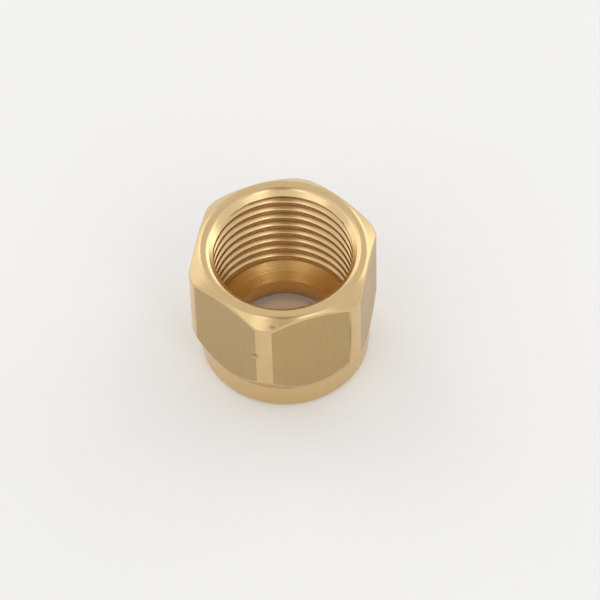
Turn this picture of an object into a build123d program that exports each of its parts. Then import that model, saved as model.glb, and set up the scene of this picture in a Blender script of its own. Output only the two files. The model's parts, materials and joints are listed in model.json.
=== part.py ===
from build123d import *
import os
from math import cos, radians, tan

# Spanner size, and how far a cut across the sharp corners takes them back
across_flats = 24.0
corner_cut = 0.53
height = 21.0

# Round collar under the hexagon: its wall stands a little inside the flats
collar_step = 0.25
collar_height = 4.1
collar_edge = 0.3

# Slopes of the two turned cones, measured from the horizontal
foot_cone_angle = 65.0
mouth_cone_angle = 40.0

# Female 1/2 inch parallel pipe thread, bored here to its minor diameter, whose
# allowance takes it near the upper limit of its tolerance
thread_major = 20.955
threads_per_inch = 14
thread_depth_ratio = 0.640327
minor_allowance = 0.25

# Mouth: a 90 degree countersink just past the thread, then a flat ring
countersink_margin = 0.02
countersink_angle = 45.0
mouth_ring_width = 1.0

# Inner lip: a sloped shoulder under the thread, then the hole for the tail with
# its lower edge broken
tail_bore = 14.8
lip_thickness = 2.85
shoulder_angle = 45.0
tail_edge = 0.3

inch = 25.4
pitch = inch / threads_per_inch
minor_radius = thread_major / 2 - thread_depth_ratio * pitch + minor_allowance
countersink_radius = thread_major / 2 + countersink_margin
mouth_ring_radius = countersink_radius + mouth_ring_width
corner_radius = across_flats / 2 / cos(radians(30)) - corner_cut
collar_radius = across_flats / 2 - collar_step
tail_radius = tail_bore / 2


def rise(run, slope):
    """Height gained over a radial run at a slope in degrees from the horizontal."""
    return run * tan(radians(slope))


def outer_profile():
    """Turned outline from the foot to the mouth, as (radius, height) points."""
    corner_start = collar_height + rise(corner_radius - collar_radius, foot_cone_angle)
    corner_end = height - rise(corner_radius - mouth_ring_radius, mouth_cone_angle)
    return [
        (collar_radius - collar_edge, 0),
        (collar_radius, collar_edge),
        (collar_radius, collar_height),
        (corner_radius, corner_start),
        (corner_radius, corner_end),
        (mouth_ring_radius, height),
    ]


def inner_profile():
    """Bored outline from the mouth back down to the tail hole."""
    thread_end = lip_thickness + rise(minor_radius - tail_radius, shoulder_angle)
    thread_start = height - rise(countersink_radius - minor_radius, countersink_angle)
    return [
        (countersink_radius, height),
        (minor_radius, thread_start),
        (minor_radius, thread_end),
        (tail_radius, lip_thickness),
        (tail_radius, tail_edge),
        (tail_radius + tail_edge, 0),
    ]


def swivel_nut():
    """A turned and bored ring, with six flats milled on it by the hexagon bar."""
    section = make_face(Plane.XZ * Polyline(*outer_profile(), *inner_profile(), close=True))
    turned = revolve(section, Axis.Z)
    hexagon = RegularPolygon(across_flats / 2, 6, major_radius=False, rotation=30)
    bar = extrude(hexagon, amount=2 * height, both=True)
    return turned & bar


os.makedirs("parts", exist_ok=True)
nut = swivel_nut()
nut.label = "swivel_nut"
export_step(nut, "parts/swivel_nut.step")
print("swivel_nut", round(nut.volume, 1), "mm3", nut.bounding_box().size)
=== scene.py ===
import json
from math import atan2, cos, exp, hypot, log, pi, radians, sin, tan

import bmesh
import bpy
from mathutils import Matrix, Vector


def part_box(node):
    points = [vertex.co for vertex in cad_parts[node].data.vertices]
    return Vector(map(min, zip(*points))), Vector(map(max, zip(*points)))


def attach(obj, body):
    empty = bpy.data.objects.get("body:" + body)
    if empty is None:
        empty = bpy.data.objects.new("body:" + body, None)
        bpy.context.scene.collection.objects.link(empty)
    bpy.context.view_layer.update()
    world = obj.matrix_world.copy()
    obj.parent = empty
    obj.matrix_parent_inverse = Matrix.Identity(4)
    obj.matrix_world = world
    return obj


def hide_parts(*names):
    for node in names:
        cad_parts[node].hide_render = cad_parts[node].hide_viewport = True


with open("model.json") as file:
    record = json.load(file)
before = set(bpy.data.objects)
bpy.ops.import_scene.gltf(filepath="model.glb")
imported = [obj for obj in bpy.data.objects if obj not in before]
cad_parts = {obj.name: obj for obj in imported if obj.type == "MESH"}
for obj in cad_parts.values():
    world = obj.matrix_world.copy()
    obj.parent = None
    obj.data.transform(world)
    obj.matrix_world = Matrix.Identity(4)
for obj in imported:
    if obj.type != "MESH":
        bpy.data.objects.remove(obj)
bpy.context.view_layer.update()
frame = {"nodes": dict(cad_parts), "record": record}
print("frame loaded:", sorted(frame["nodes"]))

mm = 0.001  # the frame is in metres
scene = bpy.context.scene
mounts = {mount["name"]: mount for mount in frame["record"]["mounts"]}
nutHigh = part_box("swivel_nut")[1]


# Camera, at the viewing angle of the photograph

view = {
    "azimuth": 12.95,          # degrees, to the right of square on to the front corner
    "elevation": 54.40,
    "roll": -1.572,
    "distance": 600 * mm,
    "lens": 258.86,            # in millimetres, as the sensor is
    "sensor": 36,
    "clipStart": 10 * mm,
    "aim": Vector((0, 0, 9 * mm)),
    "slide": (2.177 * mm, -0.120 * mm),   # right and up: the nut stands a little left of the middle
}


def addCamera():
    azimuth, elevation = radians(view["azimuth"]), radians(view["elevation"])
    back = Vector((sin(azimuth) * cos(elevation), -cos(azimuth) * cos(elevation), sin(elevation)))
    flatRight = Vector((cos(azimuth), sin(azimuth), 0))
    spin = Matrix.Rotation(radians(view["roll"]), 3, back)
    right = spin @ flatRight
    up = spin @ back.cross(flatRight)
    data = bpy.data.cameras.new("photoCamera")
    data.lens = view["lens"]
    data.sensor_width = view["sensor"]
    data.clip_start = view["clipStart"]
    camera = bpy.data.objects.new("photoCamera", data)
    place = view["aim"] + back * view["distance"] + right * view["slide"][0] + up * view["slide"][1]
    camera.matrix_world = Matrix.Translation(place) @ Matrix((right, up, back)).transposed().to_4x4()
    scene.collection.objects.link(camera)
    scene.camera = camera


addCamera()
print("camera placed")


# Shader helper: wraps a socket so that sums on it read as plain Python

class Wire:
    def __init__(self, tree, socket=None):
        self.tree = tree
        self.socket = socket

    def node(self, kind, settings=None, inputs=None, out=0):
        made = self.tree.nodes.new("ShaderNode" + kind)
        for name, value in (settings or {}).items():
            setattr(made, name, value)
        for name, value in (inputs or {}).items():
            if isinstance(value, Wire):
                self.tree.links.new(value.socket, made.inputs[name])
            else:
                made.inputs[name].default_value = value
        return Wire(self.tree, made.outputs[out] if made.outputs else None)

    def math(self, operation, *values):
        return self.node("Math", {"operation": operation}, dict(enumerate(values)))

    def vector(self, operation, *values, out=0):
        return self.node("VectorMath", {"operation": operation}, dict(enumerate(values)), out)

    def noise(self, place, scale, detail, dimensions="3D"):
        inputs = {"Vector": place, "Scale": scale, "Detail": detail}
        return self.node("TexNoise", {"noise_dimensions": dimensions}, inputs)

    def ramp(self, value, edges, start=0.0, end=1.0, kind="SMOOTHSTEP"):
        inputs = {"Value": value, 1: edges[0], 2: edges[1], 3: start, 4: end}
        return self.node("MapRange", {"interpolation_type": kind}, inputs)

    def mix(self, factor, first, second):
        return self.node("Mix", {"data_type": "RGBA"}, {0: factor, 6: first, 7: second}, out=2)

    def axisDistance(self, place):
        return self.vector("LENGTH", self.vector("MULTIPLY", place, (1, 1, 0)), out="Value")

    def __add__(self, other):
        return self.math("ADD", self, other)

    def __sub__(self, other):
        return self.math("SUBTRACT", self, other)

    def __rsub__(self, other):
        return self.math("SUBTRACT", other, self)

    def __mul__(self, other):
        return self.math("MULTIPLY", self, other)

    __radd__ = __add__
    __rmul__ = __mul__


def newMaterial(name):
    material = bpy.data.materials.new(name)
    material.use_nodes = True
    material.node_tree.nodes.clear()
    return material, Wire(material.node_tree)


def closeMaterial(wire, colour, roughness, normal, metallic=1.0, more=None):
    inputs = {"Base Color": colour, "Roughness": roughness, "Metallic": metallic, "Normal": normal}
    inputs.update(more or {})
    wire.node("OutputMaterial", None, {"Surface": wire.node("BsdfPrincipled", None, inputs)})


# Brass finishes, in the order of the nut's material slots

finishes = {
    # name: colour, colour of its patches, roughness, scale of the tool marks, their depth
    "turned": ((0.75, 0.55, 0.292, 1), (0.69, 0.485, 0.23, 1), 0.24, 9000, 2e-3 * mm),
    "drawn": ((0.54, 0.378, 0.178, 1), (0.45, 0.31, 0.138, 1), 0.36, 5200, 2e-3 * mm),    # skin of the bar
    "thread": ((0.82, 0.605, 0.335, 1), (0.76, 0.53, 0.265, 1), 0.22, 12000, 1e-3 * mm),  # cut by the tap
    "bored": ((0.86, 0.63, 0.29, 1), (0.78, 0.56, 0.24, 1), 0.24, 9000, 2e-2 * mm),       # sloped shoulder
    "tail": ((0.86, 0.54, 0.22, 1), (0.78, 0.46, 0.17, 1), 0.24, 9000, 1e-3 * mm),        # tail hole
    "mouth": ((0.87, 0.645, 0.345, 1), (0.81, 0.575, 0.28, 1), 0.24, 9000, 2e-3 * mm),    # countersink
}
finishNumber = {name: number for number, name in enumerate(finishes)}

brass = {
    "shadeRange": (0.35, 0.7),     # values of the noise between which the colour changes
    "ringDetail": 3.0,             # rings that the tool leaves on turned faces
    "patchScale": 260.0,           # warmer patches on them
    "patchDetail": 4.0,
    "patchShare": 0.55,
    "patchRoughness": 0.12,
    "streakDetail": 3.0,           # upright streaks on the drawn flats
    "streakStretch": 0.04,
    "streakShare": 0.35,
    "cloudScale": 300.0,           # duller clouds on them
    "cloudDetail": 5.0,
    "cloudRoughness": 0.15,
    "markShade": (0.26, 0.185, 0.085, 1),   # painted shade in the dents of the marks of wear
    "markShadeCore": 0.2,                   # part of a mark's reach that has the full painted shade
}

# marks of wear: dents in the flats and chamfer, each with painted shade darkening its middle
wearAndShade = {
    # name: angle in degrees, radius, height, reach, squeeze in height, depth, share of painted shade
    "nick": (-95.25, 12.95 * mm, 13.4 * mm, 0.75 * mm, 1.0, 0.10 * mm, 0.75),
    "scuff": (-84.6, 12.66 * mm, 20.02 * mm, 0.75 * mm, 2.6, 0.03 * mm, 0.50),
    "wornEdge": (-34.6, 13.28 * mm, 13.8 * mm, 0.32 * mm, 0.05, 0.05 * mm, 0.80),
}


def wearPlace(angle, radius, height):
    return Vector((radius * cos(radians(angle)), radius * sin(radians(angle)), height))


# painted shade: darkens the colour towards the middle of each mark's dent
def addMarkShade(wire, place, colour):
    for angle, radius, height, reach, squeeze, depth, markShade in wearAndShade.values():
        squeezed = wire.vector("MULTIPLY", place, (1, 1, squeeze))
        middle = wearPlace(angle, radius, height * squeeze)
        away = wire.vector("DISTANCE", squeezed, middle, out="Value")
        share = wire.ramp(away, (reach * brass["markShadeCore"], reach), markShade, 0.0)
        colour = wire.mix(share, colour, brass["markShade"])
    return colour


def turnedBrass(name):
    bright, warm, roughness, ringScale, ringDepth = finishes[name]
    material, wire = newMaterial(name + "Brass")
    place = wire.node("TexCoord", out="Object")
    height = wire.node("SeparateXYZ", None, {0: place}, out="Z")
    section = wire.node("CombineXYZ", None, {"X": wire.axisDistance(place), "Y": height})
    rings = wire.noise(section, ringScale, brass["ringDetail"], "2D")
    patches = wire.noise(place, brass["patchScale"], brass["patchDetail"])
    shade = wire.ramp(patches, brass["shadeRange"], 0.0, brass["patchShare"], "LINEAR")
    # with painted shade in the marks of wear
    colour = addMarkShade(wire, place, wire.mix(shade, bright, warm))
    bump = wire.node("Bump", None, {"Strength": 1.0, "Distance": ringDepth, "Height": rings})
    closeMaterial(wire, colour, roughness + (patches - 0.5) * brass["patchRoughness"], bump)
    return material


def drawnBrass(name):
    light, dark, roughness, streakScale, streakDepth = finishes[name]
    material, wire = newMaterial(name + "Brass")
    place = wire.node("TexCoord", out="Object")
    stretched = wire.vector("MULTIPLY", place, (1, 1, brass["streakStretch"]))
    streaks = wire.noise(stretched, streakScale, brass["streakDetail"])
    clouds = wire.noise(place, brass["cloudScale"], brass["cloudDetail"])
    shade = wire.ramp(streaks, brass["shadeRange"], 0.0, brass["streakShare"], "LINEAR")
    # with painted shade in the marks of wear
    colour = addMarkShade(wire, place, wire.mix(shade, light, dark))
    bump = wire.node("Bump", None, {"Strength": 1.0, "Distance": streakDepth, "Height": streaks})
    closeMaterial(wire, colour, roughness + (clouds - 0.5) * brass["cloudRoughness"], bump)
    return material


brassFinishes = [drawnBrass(name) if name == "drawn" else turnedBrass(name) for name in finishes]
print("brass finishes made:", len(brassFinishes))


# The nut

nut = {
    "columns": 360,            # steps of the spin, one each degree
    "edgeSegments": 4,
    "edgeRound": 0.2 * mm,
    "mouthRound": 0.45 * mm,   # inner edge of the mouth's ring, worn rounder
    "ringRound": 0.35 * mm,    # its outer edge
    "lipRound": 0.12 * mm,
    "tailRound": 0.1 * mm,
    "footRound": 0.15 * mm,
    "wallCuts": 28,            # rows on the flats, which carry the nick and the worn edge
    "hold": 0.05 * mm,         # rows that keep the faces flat next to a rounded edge
    "flatEdgeBlend": 0.11 * mm,
    "flatsFrom": 0.2 * mm,     # rows take part in the flats from this far inside their mean radius
    "flatDepth": 0.02 * mm,    # drawn finish: how far inside a flat, how far from upright
    "flatTilt": 0.1,
    "flatHalfAngle": 25.5,     # and how far to each side of its middle
    "collarRadius": 11.75 * mm,
    "collarHeight": 4.1 * mm,
    "collarEdge": 0.3 * mm,
    "footConeAngle": 65,
    "mouthConeAngle": 40,
    "mouthRingRadius": 11.4975 * mm,
    "countersinkRadius": 10.4975 * mm,   # at the mouth, with a slope of 45 degrees
    "lipHeight": 2.85 * mm,
    "shoulderAngle": 45,       # slope of the lip's upper side
    "tailEdge": 0.3 * mm,
    "wallAboveLip": 2.0 * mm,       # the threaded wall meets the rest of the bore here
    "wallUnderMouth": 0.45 * mm,    # and the countersink here
    "mergeDistance": 0.004 * mm,
    "sharpAngle": 38,
}
thread = {
    "pitch": 25.4 * mm / 14,
    "majorRadius": 10.4775 * mm,
    "halfAngle": 27.5,
    "sharpHeightRatio": 0.960491,  # sharp V height over the pitch
    "rootRadiusRatio": 0.137329,
    "rootSegments": 4,
    "crestRound": 0.25 * mm,
    "crestSegments": 3,
    "flankCuts": 2,
    "lastRoot": 4.77 * mm,         # the lowest groove's root on the far wall
    "farAngle": 102.95,            # where the far wall is, in degrees
    "leadEnd": 5.70 * mm,          # below this the far wall is left plain
    "endSlope": 2.0,               # how fast the grooves run out at either end
    "mergeDistance": 0.002 * mm,
}

nutHeight = nutHigh.z
flatDistance = nutHigh.x
cornerRadius = nutHigh.y
minorRadius = mounts["pipe_thread"]["dims"]["r_mm"] * mm
tailRadius = mounts["tail_bore"]["dims"]["r_mm"] * mm
wallLow = nut["lipHeight"] + nut["wallAboveLip"]
wallHigh = nutHeight - nut["wallUnderMouth"]
threadStart = nutHeight - (nut["countersinkRadius"] - minorRadius)
shoulderTop = nut["lipHeight"] + (minorRadius - tailRadius) * tan(radians(nut["shoulderAngle"]))


# the four cuts that end the thread, each as a radius at a height and an angle
def shoulderRadius(height, angle=0):
    return tailRadius + (height - nut["lipHeight"]) / tan(radians(nut["shoulderAngle"]))


def countersinkRadius(height, angle=0):
    return nut["countersinkRadius"] - (nutHeight - height)


def mouthRadius(height, angle=0):
    return minorRadius + max(threadStart - height, 0) * thread["endSlope"]


def leadRadius(height, angle):
    turned = (angle / (2 * pi) - thread["farAngle"] / 360 + 0.5) % 1 - 0.5
    return minorRadius + max(height - thread["leadEnd"] - turned * thread["pitch"], 0) * thread["endSlope"]


def makeOutline(bm, corners):
    hold = nut["hold"]
    verts = [bm.verts.new((radius, 0, height)) for radius, height, rounding in corners]
    for pair in zip(verts, verts[1:]):
        bm.edges.new(pair)
    for vert, (radius, height, rounding) in list(zip(verts, corners))[1:-1]:
        bmesh.ops.bevel(bm, geom=[vert], offset=rounding, affect="VERTICES",
                        segments=nut["edgeSegments"], profile=0.5, material=-1)
    for edge in bm.edges[:]:
        if edge.calc_length() > 3 * hold:
            start, end = edge.verts
            added = bmesh.utils.edge_split(edge, start, hold / edge.calc_length())[1]
            longer = next(other for other in added.link_edges if end in other.verts)
            bmesh.utils.edge_split(longer, end, hold / longer.calc_length())


def fromFlat(angle):
    return (angle + pi / 6) % (pi / 3) - pi / 6   # angle from the middle of the nearest flat


def hexagonRadius(angle):
    flat = flatDistance / cos(fromFlat(angle))
    blend = nut["flatEdgeBlend"]
    return cornerRadius - blend * log(1 + exp((cornerRadius - flat) / blend))


def makeBody(bm):
    footSlope, mouthSlope = tan(radians(nut["footConeAngle"])), tan(radians(nut["mouthConeAngle"]))
    coneFoot = nut["collarHeight"] + (cornerRadius - nut["collarRadius"]) * footSlope
    coneMouth = nutHeight - (cornerRadius - nut["mouthRingRadius"]) * mouthSlope
    corners = [
        # radius, height, rounding
        (shoulderRadius(wallLow), wallLow, 0),
        (tailRadius, nut["lipHeight"], nut["lipRound"]),
        (tailRadius, nut["tailEdge"], nut["tailRound"]),
        (tailRadius + nut["tailEdge"], 0, nut["tailRound"]),
        (nut["collarRadius"] - nut["collarEdge"], 0, nut["footRound"]),
        (nut["collarRadius"], nut["collarEdge"], nut["footRound"]),
        (nut["collarRadius"], nut["collarHeight"], nut["edgeRound"]),
        (cornerRadius, coneFoot, nut["edgeRound"]),
        (cornerRadius, coneMouth, nut["edgeRound"]),
        (nut["mouthRingRadius"], nutHeight, nut["ringRound"]),
        (nut["countersinkRadius"], nutHeight, nut["mouthRound"]),
        (countersinkRadius(wallHigh), wallHigh, 0),
    ]
    makeOutline(bm, corners)
    wall = max(bm.edges, key=lambda edge: edge.calc_length())
    bmesh.ops.subdivide_edges(bm, edges=[wall], cuts=nut["wallCuts"])
    bmesh.ops.spin(bm, geom=bm.verts[:] + bm.edges[:], cent=(0, 0, 0), axis=(0, 0, 1),
                   angle=2 * pi, steps=nut["columns"], use_merge=True)
    # the six flats: the end rows slide along their own cones, and those between share it out
    for vert in bm.verts:
        radius = hypot(vert.co.x, vert.co.y)
        if radius > (cornerRadius + flatDistance) / 2 - nut["flatsFrom"]:
            shift = hexagonRadius(atan2(vert.co.y, vert.co.x)) - cornerRadius
            share = min(max((vert.co.z - coneFoot) / (coneMouth - coneFoot), 0), 1)
            slope = footSlope * (1 - share) - mouthSlope * share
            scale = (radius + shift) / radius
            vert.co = (vert.co.x * scale, vert.co.y * scale, vert.co.z + shift * slope)
    # wear: each mark has its full depth in the inner half of its reach
    for angle, radius, height, reach, squeeze, depth, markShade in wearAndShade.values():
        place = wearPlace(angle, radius, height)
        for vert in bm.verts:
            nearness = 1 - ((vert.co - place) * Vector((1, 1, squeeze))).length / reach
            if nearness > 0:
                vert.co -= wearPlace(angle, depth * min(2 * nearness, 1), 0)


def makeTurn():
    pitch = thread["pitch"]
    flank = tan(radians(thread["halfAngle"]))
    sharpRoot = thread["majorRadius"] + pitch * thread["sharpHeightRatio"] / 6
    crestHalf = pitch / 2 - (sharpRoot - minorRadius) * flank
    outline = [(minorRadius, 0), (minorRadius, crestHalf), (sharpRoot, pitch / 2),
               (minorRadius, pitch - crestHalf), (minorRadius, pitch)]
    turn = bmesh.new()
    verts = [turn.verts.new((radius, 0, height)) for radius, height in outline]
    for pair in zip(verts, verts[1:]):
        turn.edges.new(pair)
    rootOffset = pitch * thread["rootRadiusRatio"] / flank
    bmesh.ops.bevel(turn, geom=[verts[2]], offset=rootOffset, affect="VERTICES",
                    segments=thread["rootSegments"], profile=0.5, material=-1)
    bmesh.ops.bevel(turn, geom=[verts[1], verts[3]], offset=thread["crestRound"], affect="VERTICES",
                    segments=thread["crestSegments"], profile=0.5, material=-1)
    flanks = sorted(turn.edges, key=lambda edge: -edge.calc_length())[:2]
    bmesh.ops.subdivide_edges(turn, edges=flanks, cuts=thread["flankCuts"])
    # one turn of a right hand helix
    bmesh.ops.spin(turn, geom=turn.verts[:] + turn.edges[:], cent=(0, 0, 0), axis=(0, 0, 1),
                   dvec=(0, 0, pitch / nut["columns"]), angle=2 * pi, steps=nut["columns"])
    return turn


def makeThreadWall(bm):
    pitch = thread["pitch"]
    turn = makeTurn()
    start = thread["lastRoot"] - pitch * (0.5 + thread["farAngle"] / 360)
    while start > wallLow - pitch:
        start -= pitch
    bmesh.ops.translate(turn, verts=turn.verts[:], vec=(0, 0, start))
    mesh = bpy.data.meshes.new("oneTurn")
    turn.to_mesh(mesh)
    turn.free()
    copies = 0
    while start < wallHigh:
        bm.from_mesh(mesh)
        mesh.transform(Matrix.Translation((0, 0, pitch)))
        start += pitch
        copies += 1
    bpy.data.meshes.remove(mesh)
    bmesh.ops.remove_doubles(bm, verts=bm.verts[:], dist=thread["mergeDistance"])
    step = 2 * pi / nut["columns"]
    column, height, radius = {}, {}, {}
    for vert in bm.verts:
        column[vert] = round(atan2(vert.co.y, vert.co.x) / step) % nut["columns"]
        height[vert] = min(max(vert.co.z, wallLow), wallHigh)
        radius[vert] = hypot(vert.co.x, vert.co.y)
    # the plain land, shoulder and countersink each cut the turns off: rows are drawn to those edges
    limits = ((min, leadRadius), (min, shoulderRadius), (min, mouthRadius), (max, countersinkRadius))
    for keep, limit in limits:
        gap = {vert: radius[vert] - limit(height[vert], column[vert] * step) for vert in bm.verts}
        for edge in bm.edges:
            first, second = edge.verts
            if column[first] == column[second] and gap[first] * gap[second] < 0:
                share = gap[first] / (gap[first] - gap[second])
                near = first if share < 0.5 else second
                height[near] = height[first] + (height[second] - height[first]) * share
                radius[near] = limit(height[near], column[near] * step)
        for vert in bm.verts:
            radius[vert] = keep(radius[vert], limit(height[vert], column[vert] * step))
    for vert in bm.verts:
        angle = column[vert] * step
        vert.co = (radius[vert] * cos(angle), radius[vert] * sin(angle), height[vert])
    bmesh.ops.triangulate(bm, faces=bm.faces[:], quad_method="SHORT_EDGE")
    return copies


# the finish of a face by its place, or none where the thread's or the turned one stays
def pickFinish(face):
    middle = face.calc_center_median()
    radius = hypot(middle.x, middle.y)
    if radius < nut["countersinkRadius"] and middle.z > threadStart:
        return "mouth"
    if radius < tailRadius + nut["tailEdge"] and middle.z < nut["lipHeight"] - nut["edgeRound"]:
        return "tail"
    if radius < minorRadius and middle.z < shoulderTop:
        return "bored"
    upright = radius > flatDistance - nut["flatDepth"] and abs(face.normal.z) < nut["flatTilt"]
    if upright and abs(fromFlat(atan2(middle.y, middle.x))) < radians(nut["flatHalfAngle"]):
        return "drawn"
    return None


def makeNut():
    bm = bmesh.new()
    turns = makeThreadWall(bm)
    for face in bm.faces:
        face.material_index = finishNumber["thread"]
    body = bmesh.new()
    makeBody(body)
    mesh = bpy.data.meshes.new("bodyMesh")
    body.to_mesh(mesh)
    body.free()
    bm.from_mesh(mesh)
    bpy.data.meshes.remove(mesh)
    bmesh.ops.remove_doubles(bm, verts=bm.verts[:], dist=nut["mergeDistance"])
    bmesh.ops.recalc_face_normals(bm, faces=bm.faces[:])
    for face in bm.faces:
        face.smooth = True
        finish = pickFinish(face)
        if finish:
            face.material_index = finishNumber[finish]
    piece = bpy.data.meshes.new("swivelNutBody")
    bm.to_mesh(piece)
    openEdges = sum(1 for edge in bm.edges if len(edge.link_faces) != 2)
    bm.free()
    piece.set_sharp_from_angle(angle=radians(nut["sharpAngle"]))
    for finish in brassFinishes:
        piece.materials.append(finish)
    nutObject = bpy.data.objects.new("swivelNutBody", piece)
    scene.collection.objects.link(nutObject)
    triangles = sum(len(face.vertices) - 2 for face in piece.polygons)
    print("nut made:", turns, "turns of thread,", triangles, "triangles,", openEdges, "open edges")
    return nutObject


nutBody = makeNut()
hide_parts("swivel_nut")
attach(nutBody, "root")


# Floor and light

studio = {
    "floorSize": 4.0,
    "floorColours": ((0.872, 0.872, 0.865, 1), (0.882, 0.882, 0.878, 1)),   # both ends of a faint grain
    "floorRoughness": 0.75,
    "grainScale": 40.0,
    "grainDetail": 3.0,
    "grainStrength": 0.1,
    "grainDepth": 0.01 * mm,
    "floorGlow": (0.08, 0.08, 0.08, 1),    # painted glow on the floor, fading out under the nut into a painted shadow
    "glowEdge": (10.5 * mm, 12.5 * mm),
    "holeGlow": (0.12, 0.068, 0.022, 1),   # painted warm glow on the floor in the tail hole, standing in for light that the brass throws down it
    "holeGlowEdge": (5.8 * mm, 7.0 * mm),
    "sky": 0.80,                           # even light from all round
    "skyColour": (1, 1, 0.99, 1),
    "strip": 0.20,                         # what is left of it in a dark strip above the camera
    "stripColour": (1, 0.84, 0.66, 1),
    "stripUp": (0.55, 0.95),               # soft edges of that strip, as parts of a direction: up,
    "stripSide": (0.05, 0.22),             # sideways
    "stripAway": (-0.32, -0.02),           # and away
    "softboxes": [
        # name, place (right, away, up), width, height, radiance
        ("leftBox", (-0.78, 0.60, 0.40), 1.0, 0.8, 0.45),
        ("leftHighBox", (-0.46, 0.58, 0.68), 0.34, 0.34, 0.7),
        ("rightBox", (0.78, 0.60, 0.33), 1.0, 0.66, 0.95),
        ("frontLeftBox", (-0.66, -0.60, 0.55), 0.5, 0.4, 0.45),
        ("frontRightBox", (0.52, -0.70, 0.58), 0.5, 0.4, 0.45),
        ("highLeftBox", (-0.32, -0.56, 0.77), 0.2, 0.3, 0.95),
        ("highRightBox", (0.32, -0.56, 0.77), 0.2, 0.3, 1.4),
    ],
}


# from right, away and up as the photograph has them to the frame's own directions
def fromCamera(right, away, up):
    azimuth = radians(view["azimuth"])
    x = right * cos(azimuth) - away * sin(azimuth)
    y = right * sin(azimuth) + away * cos(azimuth)
    return Vector((x, y, up))


def addFloor():
    material, wire = newMaterial("paleFloor")
    place = wire.node("TexCoord", out="Object")
    grain = wire.noise(place, studio["grainScale"], studio["grainDetail"])
    tone = wire.mix(grain, *studio["floorColours"])
    bumpInputs = {"Strength": studio["grainStrength"], "Distance": studio["grainDepth"], "Height": grain}
    bump = wire.node("Bump", None, bumpInputs)
    # painted light on the floor: an even glow that fades out under the nut, and a warm glow in the tail
    # hole
    radius = wire.axisDistance(place)
    paintedHoleGlow = wire.mix(wire.ramp(radius, studio["holeGlowEdge"]), studio["holeGlow"], (0, 0, 0, 1))
    glow = wire.mix(wire.ramp(radius, studio["glowEdge"]), paintedHoleGlow, studio["floorGlow"])
    closeMaterial(wire, tone, studio["floorRoughness"], bump, metallic=0.0,
                  more={"Emission Color": glow, "Emission Strength": 1.0})
    bm = bmesh.new()
    bmesh.ops.create_grid(bm, x_segments=1, y_segments=1, size=studio["floorSize"] / 2)
    mesh = bpy.data.meshes.new("paleFloor")
    bm.to_mesh(mesh)
    bm.free()
    mesh.materials.append(material)
    floor = bpy.data.objects.new("paleFloor", mesh)
    scene.collection.objects.link(floor)


def addLights():
    world = bpy.data.worlds.new("studioWorld")
    world.use_nodes = True
    world.node_tree.nodes.clear()
    wire = Wire(world.node_tree)
    direction = wire.node("TexCoord", out="Generated")
    rightPart = wire.vector("DOT_PRODUCT", direction, fromCamera(1, 0, 0), out="Value")
    awayPart = wire.vector("DOT_PRODUCT", direction, fromCamera(0, 1, 0), out="Value")
    upPart = wire.node("SeparateXYZ", None, {0: direction}, out="Z")
    beside = wire.ramp(wire.math("ABSOLUTE", rightPart), studio["stripSide"])
    behind = wire.ramp(awayPart, studio["stripAway"])
    below = wire.ramp(upPart, studio["stripUp"], 1.0, 0.0)
    clear = wire.math("MAXIMUM", wire.math("MAXIMUM", beside, behind), below)
    strength = studio["strip"] + clear * (studio["sky"] - studio["strip"])
    colour = wire.mix(clear, studio["stripColour"], studio["skyColour"])
    sky = wire.node("Background", None, {"Color": colour, "Strength": strength})
    wire.node("OutputWorld", None, {"Surface": sky})
    scene.world = world
    for name, place, width, height, radiance in studio["softboxes"]:
        data = bpy.data.lights.new(name, "AREA")
        data.shape = "RECTANGLE"
        data.size = width
        data.size_y = height
        data.energy = radiance * pi * width * height
        lamp = bpy.data.objects.new(name, data)
        lamp.location = fromCamera(*place)
        lamp.rotation_euler = (-lamp.location).to_track_quat("-Z", "Y").to_euler()
        scene.collection.objects.link(lamp)


addFloor()
addLights()
scene.view_settings.view_transform = "Standard"
print("floor and lights placed")

bpy.context.view_layer.update()
